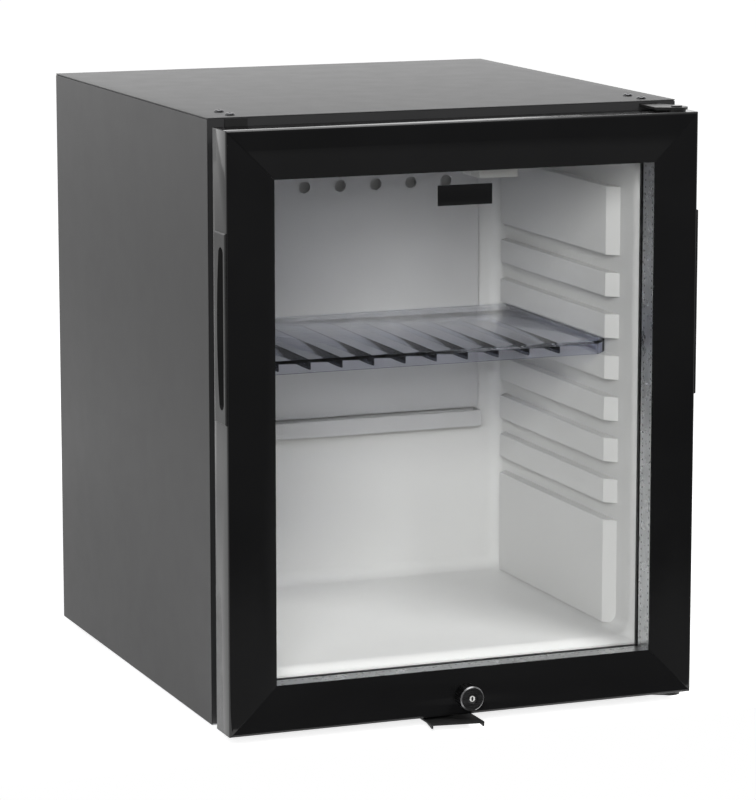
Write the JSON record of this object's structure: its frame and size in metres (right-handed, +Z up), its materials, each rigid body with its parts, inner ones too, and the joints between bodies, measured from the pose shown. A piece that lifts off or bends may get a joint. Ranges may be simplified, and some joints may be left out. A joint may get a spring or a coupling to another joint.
{
  "type": "minibar fridge",
  "caption": "Black free-standing minibar fridge with a glazed lockable door, clear ribbed shelf in moulded runners, and a silent absorption cooling unit open at the rear.",
  "frame": {"origin": "on the floor, under the middle of the outer box", "axes": "+Z up, the door faces -Y and hinges at +X"},
  "size_m": [0.409, 0.472, 0.5018],
  "materials": {
    "shell_paint": "satin black paint",
    "zinc_sheet": "zinc-coated sheet",
    "black_steel": "black coated steel",
    "unit_paint": "matt black paint",
    "heater_steel": "bare steel",
    "pin_steel": "bright steel",
    "screw_steel": "dark plated steel",
    "foam": "rigid foam",
    "liner_plastic": "light grey, semi-gloss",
    "cold_aluminium": "coated aluminium",
    "light_plastic": "light grey",
    "lamp_plastic": "frosted",
    "board": "circuit board",
    "clear_plastic": "clear",
    "frame_plastic": "gloss black",
    "key_plastic": "moulded",
    "glass": "clear",
    "spacer_metal": "perforated aluminium",
    "sealant": "black sealant",
    "bead_plastic": "black",
    "gasket_rubber": "soft black",
    "grip_plastic": "satin black",
    "bush_plastic": "moulded",
    "lock_metal": "black chrome",
    "plug_metal": "nickel-plated brass",
    "cam_steel": "zinc-coated",
    "foot_rubber": "black rubber",
    "drain_plastic": "grey",
    "box_plastic": "black"
  },
  "bodies": {
    "cabinet": {"side_panel_left": "shell_paint", "side_panel_right": "shell_paint", "top_panel": "shell_paint", "front_flange": "shell_paint", "bottom_panel": "zinc_sheet", "back_panel": "zinc_sheet", "boiler_jacket": "zinc_sheet", "hinge_bracket_top": "black_steel", "hinge_bracket_bottom": "black_steel", "lock_keeper": "black_steel", "vapour_riser": "unit_paint", "condenser_tube": "unit_paint", "condenser_fins": "unit_paint", "absorber_vessel": "unit_paint", "absorber_coil": "unit_paint", "evaporator_coil": "unit_paint", "unit_clamps": "unit_paint", "heater_cartridge": "heater_steel", "hinge_pins": "pin_steel", "screws": "screw_steel", "insulation_foam": "foam", "liner_left_wall": "liner_plastic", "liner_right_wall": "liner_plastic", "liner_floor": "liner_plastic", "liner_ceiling": "liner_plastic", "liner_back": "liner_plastic", "cold_plate": "cold_aluminium", "drip_gutter": "light_plastic", "lamp_housing": "light_plastic", "lamp_lens": "lamp_plastic", "led_board": "board", "hinge_slot_plug": "grip_plastic", "feet": "foot_rubber", "drain_tube": "drain_plastic", "drip_pan": "drain_plastic", "terminal_box": "box_plastic", "terminal_lid": "box_plastic", "power_inlet": "box_plastic", "thermostat": "box_plastic"},
    "door": {"rail_top": "frame_plastic", "rail_bottom": "frame_plastic", "stile_left": "frame_plastic", "stile_right": "frame_plastic", "corner_keys": "key_plastic", "outer_pane": "glass", "inner_pane": "glass", "spacer_bar": "spacer_metal", "pane_sealant": "sealant", "glazing_bead": "bead_plastic", "door_gasket": "gasket_rubber", "grip_left": "grip_plastic", "grip_right": "grip_plastic", "hinge_bushes": "bush_plastic", "lock_barrel": "lock_metal", "lock_nut": "plug_metal"},
    "lock_core": {"lock_plug": "plug_metal", "lock_cam": "cam_steel"},
    "shelf": {"shelf": "clear_plastic"},
    "thermostat_knob": {"thermostat_knob": "box_plastic"}
  },
  "joints": [
    {"name": "door_hinge", "type": "hinge", "parent": "cabinet", "child": "door", "pos_m": [0.19, -0.202, 0.252], "axis": [0, 0, 1], "range_deg": [0, 110]},
    {"name": "lock_turn", "type": "hinge", "parent": "door", "child": "lock_core", "pos_m": [0, -0.218, 0.0265], "axis": [0, -1, 0], "range_deg": [0, 90]},
    {"name": "shelf_slide", "type": "slide", "parent": "cabinet", "child": "shelf", "axis": [0, -1, 0], "range_m": [0, 0.05]},
    {"name": "thermostat_turn", "type": "hinge", "parent": "cabinet", "child": "thermostat_knob", "pos_m": [0.162, 0.2041, 0.04], "axis": [0, 1, 0], "range_deg": [0, 240]}
  ]
}
